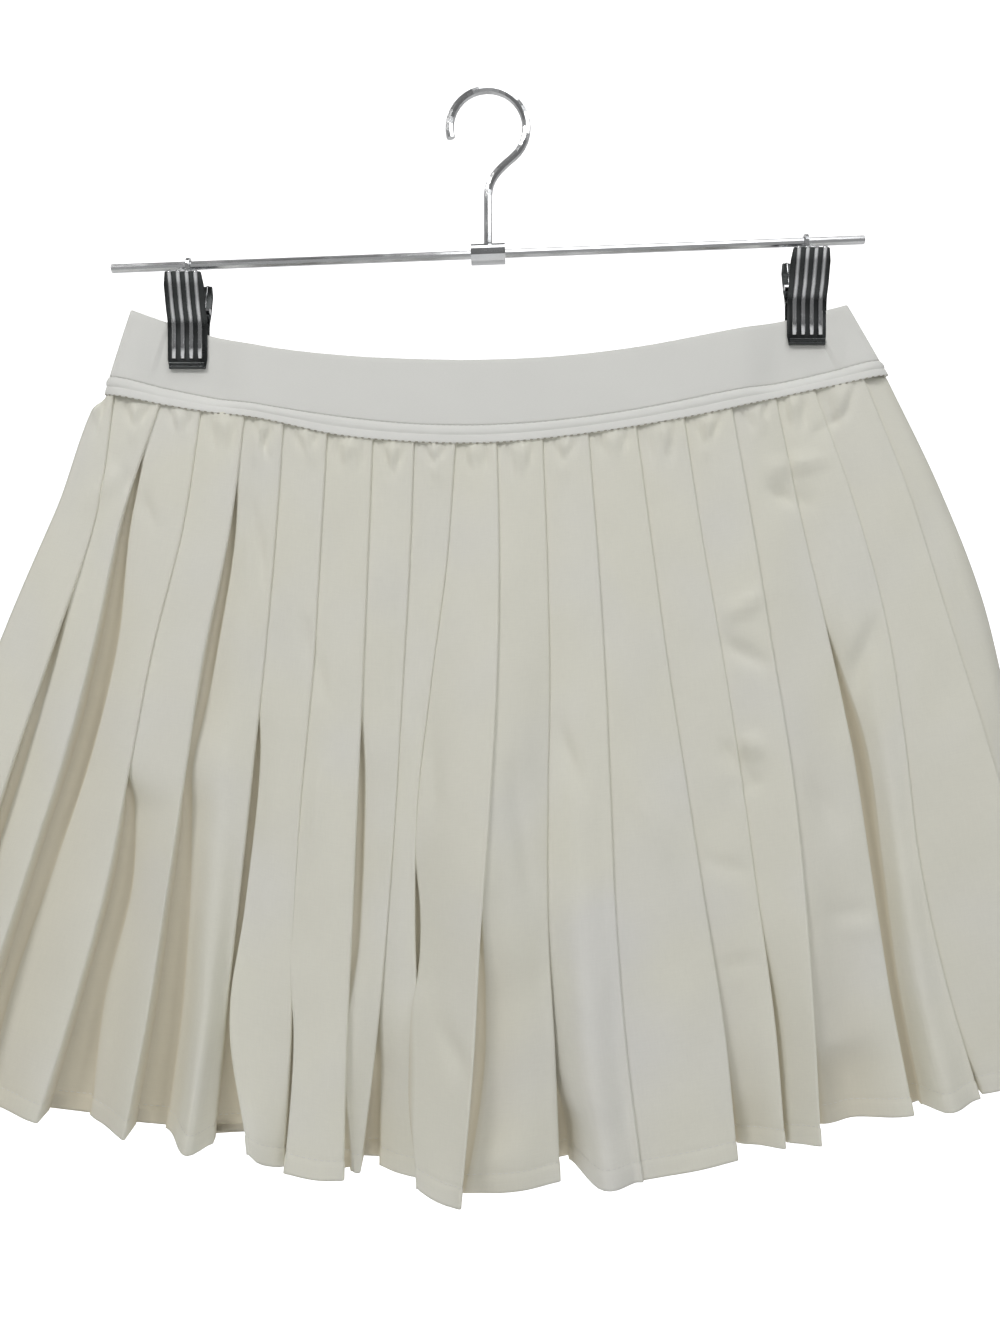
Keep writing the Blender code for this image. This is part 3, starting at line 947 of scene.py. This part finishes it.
    def puckers(self) -> list[Crease]:
        """Short slanted folds that run down from the gathered seam beside each pressed fold."""
        made = []
        for number, f in enumerate(self.folds()):
            top, turn = f.x[0], 1.9 * number
            sway, swing = math.sin(turn), math.cos(turn)
            made += [
                Crease(top - 4.0, 0.0, -4.0 - 3.0 * sway, 14 + 5 * swing, 1.9, -1.1),
                Crease(top - 9.5, 0.0, 3.0 * math.cos(2 * turn), 15 + 5 * sway, 2.0, 1.0),
                Crease(top + 4.5, 0.0, 4.5 + 2.5 * swing, 15 - 4 * sway, 1.8, -1.0),
            ]
        return made

    @staticmethod
    def crease_relief(crease: Crease, x: Grid, down: Grid) -> Grid:
        """Relief of one crease: a soft ridge or trough round its line."""
        run = np.array([crease.run_x, crease.run_down], float)
        far_x, far_down = x - crease.x, down - crease.down
        share = np.clip((far_x * run[0] + far_down * run[1]) / run.dot(run), 0.0, 1.0)
        off = np.hypot(far_x - share * run[0], far_down - share * run[1])
        taper = 0.35 + 0.65 * np.sin(np.pi * share)
        return crease.depth * taper * np.exp(-((off / (0.85 * crease.width)) ** 2))

    def tint(self, points: Grid, down: Grid) -> Grid:
        """Share of the painted cooler light at each point: the smooth, flat lower middle panels.
        """
        x = points[..., 0]
        painted_cool_light = np.exp(-(((x - 52.0) / 26.0) ** 2)) * smoothstep(190.0, 240.0, down[:, None])
        return np.clip(0.1 + 0.9 * painted_cool_light, 0.0, 1.0)

    def build(self, finish: bpy.types.Material) -> tuple[bpy.types.Object, Grid]:
        """Makes the panel's object.

        Args:
            finish: material of the cloth.

        Returns:
            The object, and the points in metres (rows, columns, 3) of its outer face.
        """
        points, down, open_face, hollow = self.sheet()
        normal = self.normals(points)
        points = points + normal * self.relief(points, down, open_face)[..., None]
        lifted = points + normal * (0.5 * self.thickness)
        turn = self.side.value
        middle = points[len(points) // 2]
        across = run_along(middle)
        uv = np.stack(np.broadcast_arrays(across[None, :] * MM, -down[:, None] * MM), axis=-1)
        place, outer = (
            self.pattern.place(turn * grid[..., 0], turn * grid[..., 1], grid[..., 2])
            for grid in (points, lifted)
        )
        name = f"pleated_{self.side.name.lower()}"
        mesh = grid_mesh(name, place, uv)
        # attributes for the material: painted cooler light, and painted shade of the fold hollows
        for label, values in (("tint", self.tint(points, down)), ("hollow", hollow)):
            layer = mesh.attributes.new(label, "FLOAT", "POINT")
            layer.data.foreach_set("value", values.reshape(-1).astype(np.float32))
        obj = add_piece(name, mesh, finish)
        solidify(obj, self.thickness)
        return obj, outer


# ---------------------------------------------------------------- the waistband


@dataclass
class Waistband:
    """Flat elastic and the binding under it, a front and a back half of each."""

    pattern: Pattern
    columns: int = 220
    elastic: float = 1.2
    elastic_height: float = 31.0
    held_climb: tuple[float, float] = (0.12, 0.62)

    def line(self, rise: float) -> tuple[Grid, Grid, Grid]:
        """x, forward and height of the front half's middle surface at one rise.

        Args:
            rise: -1 at the seam, 0 at the groove and 1 at the top edge.

        Returns:
            The three arrays, in millimetres.
        """
        p = self.pattern
        lower, upper, low, high, part = (
            (p.seam_sides, p.groove_sides, 3, 2, rise + 1)
            if rise < 0
            else (p.groove_sides, p.top_sides, 2, 1, rise)
        )
        turn = np.cos(np.pi * np.arange(self.columns + 1) / self.columns)
        share = 0.5 - 0.5 * np.sign(turn) * np.abs(turn) ** 0.8
        x = mix(mix(lower[0], upper[0], part), mix(lower[1], upper[1], part), share)
        height = mix(p.along(x, low), p.along(x, high), part)
        climb, aside = (rise + 1) / 2, np.abs(2 * share - 1)
        opened = mix(p.seam_depth, p.waist_depth, climb) * np.sqrt(np.clip(1 - aside**10, 0, 1))
        held = float(smoothstep(*self.held_climb, climb))
        forward = mix(opened, p.pinch_half, p.clip_share(x) * held)
        forward = forward - p.pinch_dimple * p.clip_share(x) * (1 - held)
        forward = np.maximum(forward, np.where(aside > 0.9, p.side_run, p.pinch_half))
        x, height = (np.pad(values, 1, mode="edge") for values in (x, height))
        return x, np.pad(forward, 1, constant_values=p.half_gap), height

    def loft(
        self, name: str, side: Side, profile: list[tuple[float, float]],
        finish: bpy.types.Material,
    ) -> bpy.types.Object:
        """Closed band along the waist with one section all the way.

        Args:
            name: name of the piece.
            side: which half.
            profile: (rise, outward offset) corners, round the section once.
            finish: material.

        Returns:
            The new object.
        """
        turn = side.value
        lines = []
        for rise, offset in profile:
            x, forward, height = self.line(rise)
            along = np.gradient(np.stack([x, forward], axis=1), axis=0)
            along /= np.maximum(np.linalg.norm(along, axis=1, keepdims=True), 1e-9)
            x, forward = x - offset * along[:, 1], forward + offset * along[:, 0]
            line = self.pattern.place(x, turn * np.maximum(forward, self.pattern.half_gap), height)
            lines.append(line[::turn])
        points = np.stack(lines, axis=0)
        rises = np.array([self.elastic_height * rise * MM for rise, _ in profile])
        uv = np.stack(np.broadcast_arrays(run_along(points[0])[None, :], rises[:, None]), axis=-1)
        mesh = grid_mesh(name, points, uv, closed_v=True)
        face_outwards(mesh)
        return add_piece(name, mesh, finish)

    def elastic_profile(self) -> list[tuple[float, float]]:
        """Section of the flat elastic: plain faces with softly rounded long edges."""
        half = self.elastic / 2
        rises = np.linspace(0.06, 0.985, 12)
        outer = [(float(r), half) for r in rises]
        inner = [(float(r), -half) for r in rises[::-1]]
        top = [(0.996, half * 0.75), (1.0, 0.0), (0.996, -half * 0.75)]
        low = [(0.0, -half * 0.7), (-0.012, 0.0), (0.0, half * 0.7), (0.025, half * 0.88)]
        return outer + top + inner + low

    def binding_profile(self) -> list[tuple[float, float]]:
        """Section of the binding: a groove, a wide round roll, and a thin ridge below it."""
        ridge = [(-1.0, 0.4), (-0.985, 0.7), (-0.94, 0.85), (-0.85, 0.95), (-0.72, 1.0)]
        groove = [(-0.62, 0.95), (-0.57, 0.85), (-0.54, 0.75), (-0.51, 0.9)]
        roll = [(-0.45, 1.2), (-0.36, 1.4), (-0.26, 1.4), (-0.16, 1.2), (-0.09, 0.85)]
        outer = [*ridge, *groove, *roll, (-0.04, 0.55), (-0.002, 0.43)]
        inner = [(0.0, 0.0), (-0.01, -0.4), (-0.2, -0.9), (-0.8, -0.9), (-0.98, -0.5), (-1.0, 0.0)]
        return outer + inner

    def build(self, finish: bpy.types.Material) -> dict[str, bpy.types.Object]:
        """Makes the four pieces, keyed by the CAD node that each stands for."""
        sections = (
            ("waistband", "elastic", self.elastic_profile()),
            ("binding", "binding_roll", self.binding_profile()),
        )
        return {
            f"{node}_{side.name.lower()}": self.loft(
                f"{name}_{side.name.lower()}", side, profile, finish
            )
            for side in Side
            for node, name, profile in sections
        }

    def route(self, side: Side, rise: float, offset: float) -> Grid:
        """Line of stitches along the waist, in metres."""
        x, forward, height = self.line(rise)
        return self.pattern.place(x, side.value * (forward + offset), height)[2:-2]


# ---------------------------------------------------------------- the hanger


@dataclass
class ClipHanger:
    """Plain steel hanger: its CAD bar, hub, hook, pins and links, and finer clip jaws."""

    pattern: Pattern
    jaw_wall: float = 1.0
    seat: float = 2.3
    rib_count: int = 4
    rib_radius: float = 1.15
    rib_sides: int = 8
    lip_radius: float = 0.9
    lip_heights: tuple[float, float] = (1.4, 3.0)
    spring_wire: float = 0.45
    spring_turns: int = 9
    turn_steps: int = 16

    def jaw_path(self) -> list[tuple[float, float]]:
        """(forward, up) of the jaw's sheet from its lip to its thumb tab."""
        straight = [(self.seat, up) for up in (0.6, 5.0, 12.0, 19.0)]
        bend = [(self.seat + 0.3, 21.5), (3.4, 24.0), (5.5, 28.0), (7.0, 32.5)]
        return [*straight, *bend, (8.8, 37.8), (10.3, 42.5), (10.9, 43.1)]

    def jaw(
        self, name: str, centre: float, lip: float, side: Side, finish: bpy.types.Material
    ) -> bpy.types.Object:
        """One jaw plate with rounded lower corners, in its place."""
        half = self.pattern.jaw_width / 2
        turn = side.value
        rows = []
        for forward, up in reversed(self.jaw_path()):
            narrow = 1.6 * max(0.0, 1.0 - up / 2.4) ** 2 + 0.9 * max(0.0, (up - 40.0) / 3.0)
            width = half - narrow
            x = np.linspace(-width, width, 13)
            out = forward - 0.5 * (x / width) ** 8
            rows.append(self.pattern.place(centre + turn * x, turn * out, lip + up))
        mesh = grid_mesh(name, np.stack(rows, axis=0))
        obj = add_piece(name, mesh, finish)
        solidify(obj, self.jaw_wall)
        soften = obj.modifiers.new("Rounded edge", "BEVEL")
        soften.width = 0.3 * MM
        soften.segments = 2
        soften.limit_method = "ANGLE"
        return obj

    def rib_routes(self, centre: float, lip: float, side: Side) -> list[Grid]:
        """Lines of the raised ribs up the jaw's face."""
        turn = side.value
        pitch = self.pattern.jaw_width / (self.rib_count + 0.6)
        path = [(f + 0.55, up) for f, up in self.jaw_path() if up > 4.0]
        path[0] = (path[0][0], 5.2)
        routes = []
        for i in range(self.rib_count):
            x = centre + turn * (i - (self.rib_count - 1) / 2) * pitch
            routes.append(np.stack([self.pattern.place(x, turn * f, lip + up) for f, up in path]))
        return routes

    def ribs(
        self, name: str, routes: list[Grid], finish: bpy.types.Material
    ) -> bpy.types.Object:
        """Round bars along the routes, as one mesh."""
        points, faces = [], []
        sides = self.rib_sides
        angles = 2 * math.pi * np.arange(sides)[:, None] / sides
        across = np.array([1.0, 0.0, 0.0])
        for route in routes:
            way = np.gradient(route, axis=0)
            way /= np.linalg.norm(way, axis=1, keepdims=True)
            first = len(points)
            for spot, normal in zip(route, np.cross(way, across)):
                ring = np.cos(angles) * across + np.sin(angles) * normal
                points += (spot + self.rib_radius * MM * ring).tolist()
            for row in range(first, first + (len(route) - 1) * sides, sides):
                for k in range(sides):
                    a, b = row + k, row + (k + 1) % sides
                    faces.append((a, b, b + sides, a + sides))
            faces.append(tuple(range(first, first + sides)))
            faces.append(tuple(range(len(points) - 1, len(points) - 1 - sides, -1)))
        mesh = bpy.data.meshes.new(name)
        mesh.from_pydata(points, [], faces)
        face_outwards(mesh)
        return add_piece(name, mesh, finish)

    def lip_bar(
        self, name: str, centre: float, lip: float, side: Side, finish: bpy.types.Material
    ) -> bpy.types.Object:
        """Solid rolled bar along the jaw's lip."""
        half = self.pattern.jaw_width / 2 - self.lip_radius
        ends = np.array([centre - half, centre + half])
        forward = side.value * (self.seat + 0.35)
        routes = [self.pattern.place(ends, forward, lip + up) for up in self.lip_heights]
        return wire(name, routes, self.lip_radius, 3, finish)

    def spring(
        self, name: str, low: Vector, high: Vector, finish: bpy.types.Material
    ) -> bpy.types.Object:
        """Close coil in the box of its CAD sleeve."""
        radius = (high.z - low.z) / 2 - self.spring_wire * MM
        reach = (high.x - low.x) / 2 - self.spring_wire * MM
        centre = (low + high) / 2
        steps = self.spring_turns * self.turn_steps
        turned = np.arange(steps + 1)
        angle = 2 * math.pi * turned / self.turn_steps
        x = centre.x + mix(-reach, reach, turned / steps)
        y, z = centre.y + radius * np.cos(angle), centre.z + radius * np.sin(angle)
        return wire(name, [np.stack([x, y, z], axis=-1)], 0.75 * self.spring_wire, 1, finish)

    def build(self, nodes: dict, bright: bpy.types.Material, dark: bpy.types.Material) -> None:
        """Dresses the CAD's metal and makes the finer jaws and springs.

        Args:
            nodes: the CAD nodes by name.
            bright: polished steel.
            dark: darker steel that paints the shade of the jaws' recesses and lip bars.
        """
        for name, node in nodes.items():
            if name.startswith(("hanger", "clip")):
                node.data.materials.clear()
                node.data.materials.append(bright)
                node.data.shade_smooth()
                node.data.set_sharp_from_angle(angle=math.radians(35))
        for word, centre in zip(("left", "right"), self.pattern.clip_centres):
            bar = self.pattern.bar_height + centre * math.tan(math.radians(self.pattern.bar_tilt))
            lip = bar - self.pattern.lip_drop
            for side in Side:
                half = side.name.lower()
                # jaw plates and lip bars take the dark steel as painted shade
                jaw = self.jaw(f"jaw_{word}_{half}", centre, lip, side, dark)
                routes = self.rib_routes(centre, lip, side)
                ribs = self.ribs(f"jaw_ribs_{word}_{half}", routes, bright)
                lip_roll = self.lip_bar(f"jaw_lip_{word}_{half}", centre, lip, side, dark)
                for piece in (jaw, ribs, lip_roll):
                    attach(piece, BODY)
                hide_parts(f"clip_{word}_{half}_jaw")
            for end in ("outer", "inner"):
                node = f"clip_{word}_spring_{end}"
                coil = self.spring(f"coil_{word}_{end}", *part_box(node), bright)
                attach(coil, BODY)
                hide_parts(node)


# ---------------------------------------------------------------- the studio


@dataclass(frozen=True)
class Studio:
    """Pale sweep, soft lights and the camera, level with the middle of the cloth."""

    distance: float = 0.52
    width: float = 0.468
    aspect: float = 1.333
    centre_x: float = 0.0056
    centre_z: float = -0.2679
    sensor: float = 36.0
    floor_drop: float = 0.75
    wall: float = 1.6
    wall_top: float = 3.0
    sweep_bend: float = 0.6
    near_end: float = -3.0
    half_width: float = 4.0
    world_light: float = 0.18
    softboxes: tuple = (
        # name, place, size, watts, tone
        ("key_softbox", (-0.8, -1.1, 0.9), 0.35, 10.0, (1.0, 0.99, 0.98)),
        ("fill_softbox", (1.0, -1.1, 0.9), 0.7, 6.1, (0.98, 0.99, 1.0)),
        ("top_softbox", (0.2, -0.6, 1.4), 0.8, 5.2, (1.0, 1.0, 1.0)),
    )

    def camera(self) -> None:
        """Creates the scene's camera."""
        data = bpy.data.cameras.new("camera")
        data.sensor_width = self.sensor
        data.lens = self.sensor * self.distance / (self.width * self.aspect)
        data.clip_start = 0.01
        camera = bpy.data.objects.new("camera", data)
        camera.location = (self.centre_x, -self.distance, self.centre_z)
        camera.rotation_euler = (math.pi / 2, 0.0, 0.0)
        bpy.context.scene.collection.objects.link(camera)
        bpy.context.scene.camera = camera

    def backdrop(self) -> None:
        """A white paper sweep: floor, round rise and wall."""
        floor, bend = -self.floor_drop, self.sweep_bend
        start, wall = self.wall - bend, self.wall
        path = [(self.near_end, floor), (start, floor)]
        for angle in math.pi / 2 * np.arange(1, 13) / 12:
            path.append((start + bend * np.sin(angle), floor + bend * (1 - np.cos(angle))))
        path.append((wall, self.wall_top))
        sides = (-self.half_width, self.half_width)
        points = np.array([[(x, y, z) for x in sides] for y, z in path])
        paper, n, shader = start_finish("white_paper")
        grain = n.noise(n.add("ShaderNodeTexCoord").outputs["Object"], 400.0, 2.0)
        seen = n.add("ShaderNodeLightPath").outputs["Is Camera Ray"]
        n.give(shader, {
            "Base Color": (0.95, 0.95, 0.95, 1.0),
            "Normal": n.bump(grain, 0.05, 0.5),
            "Roughness": 0.9,
            "Emission Color": (1.0, 1.0, 1.0, 1.0),
            "Emission Strength": n.scaled(seen, 0.9, 0.12),
        })
        add_piece("sweep", grid_mesh("sweep", points), paper)

    def light(self, name: str, at: Vector, size: float, watts: float, tone: Colour) -> None:
        """A square softbox that faces the middle of the skirt."""
        data = bpy.data.lights.new(name, "AREA")
        data.size = size
        data.energy = watts
        data.color = tone
        lamp = bpy.data.objects.new(name, data)
        aim = Vector((0.0, 0.0, self.centre_z))
        lamp.location = at
        lamp.rotation_euler = (aim - at).to_track_quat("-Z", "Y").to_euler()
        bpy.context.scene.collection.objects.link(lamp)

    def build(self) -> None:
        """Makes the camera, the sweep, the lights and the world."""
        self.camera()
        self.backdrop()
        for name, at, size, watts, tone in self.softboxes:
            self.light(name, Vector(at), size, watts, tone)
        world = bpy.data.worlds.new("studio")
        world.use_nodes = True
        shade = world.node_tree.nodes["Background"]
        shade.inputs["Color"].default_value = (1.0, 1.0, 1.0, 1.0)
        shade.inputs["Strength"].default_value = self.world_light
        bpy.context.scene.world = world
        bpy.context.scene.view_settings.view_transform = "Standard"


# ---------------------------------------------------------------- the object


def hem_route(outer: Grid, panel: PleatedPanel) -> Grid:
    """Line of the hem's stitches on a panel's outer face, in metres."""
    down = panel.levels()
    row = int(np.argmin(np.abs(down - (panel.length - panel.hem_depth))))
    return outer[row]


def declare(
    obj: bpy.types.Object, node: str,
    extra: list[bpy.types.Object],
) -> None:
    """Puts a cloth piece on the body, over its CAD node, which it hides.

    Args:
        obj: the piece.
        node: CAD node that it stands for.
        extra: pieces that go with it, such as its stitches.
    """
    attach(obj, BODY)
    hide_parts(node)
    for piece in extra:
        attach(piece, BODY)


def main() -> None:
    """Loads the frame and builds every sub-assembly in order."""
    logging.basicConfig(level=logging.INFO, format="%(name)s: %(message)s")
    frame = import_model()
    pattern = Pattern()
    cloth, elastic, thread = PleatedCloth().make(), KnitElastic().make(), Thread().make()
    # gathering thread coloured dark: real stitches, darkened as painted shadow of the gathers
    # under the binding
    gathering_and_painted_shadow = Thread("gathering_thread", (0.40, 0.38, 0.32)).make()
    bright = Steel("polished_steel", (0.72, 0.73, 0.74), 0.22).make()
    # a darker copy of the steel: painted shade for the jaws' recesses and lip bars
    dark = Steel("dark_steel", (0.075, 0.08, 0.08), 0.5).make()
    repeater = Repeater()

    band = Waistband(pattern)
    pieces = band.build(elastic)
    for side in Side:
        half = side.name.lower()
        top, low = band.route(side, 0.0, 0.55), band.route(side, -1.0, 0.85)
        groove = repeater.lay(f"groove_stitches_{half}", [top], 2.6, 1.9, 0.17, thread)
        # thick dark beads at the binding's edge: real gathering stitches and painted shadow of the
        # gathers
        gather = repeater.lay(f"gather_stitches_{half}", [low], 3.1, 1.5, 0.3, gathering_and_painted_shadow)
        declare(pieces[f"waistband_{half}"], f"waistband_{half}",
                [groove])
        declare(pieces[f"binding_{half}"], f"binding_{half}",
                [gather])
        panel = PleatedPanel(pattern, side)
        obj, outer = panel.build(cloth)
        route = hem_route(outer, panel)
        hem = repeater.lay(f"hem_stitches_{half}", [route], 2.8, 2.0, 0.16, thread)
        declare(obj, f"skirt_{half}",
                [hem])
        LOG.info("%s half made", half)
    ClipHanger(pattern).build(frame["nodes"], bright, dark)
    LOG.info("hanger made")
    Studio().build()
    LOG.info("studio made")


if __name__ == "__main__":
    main()
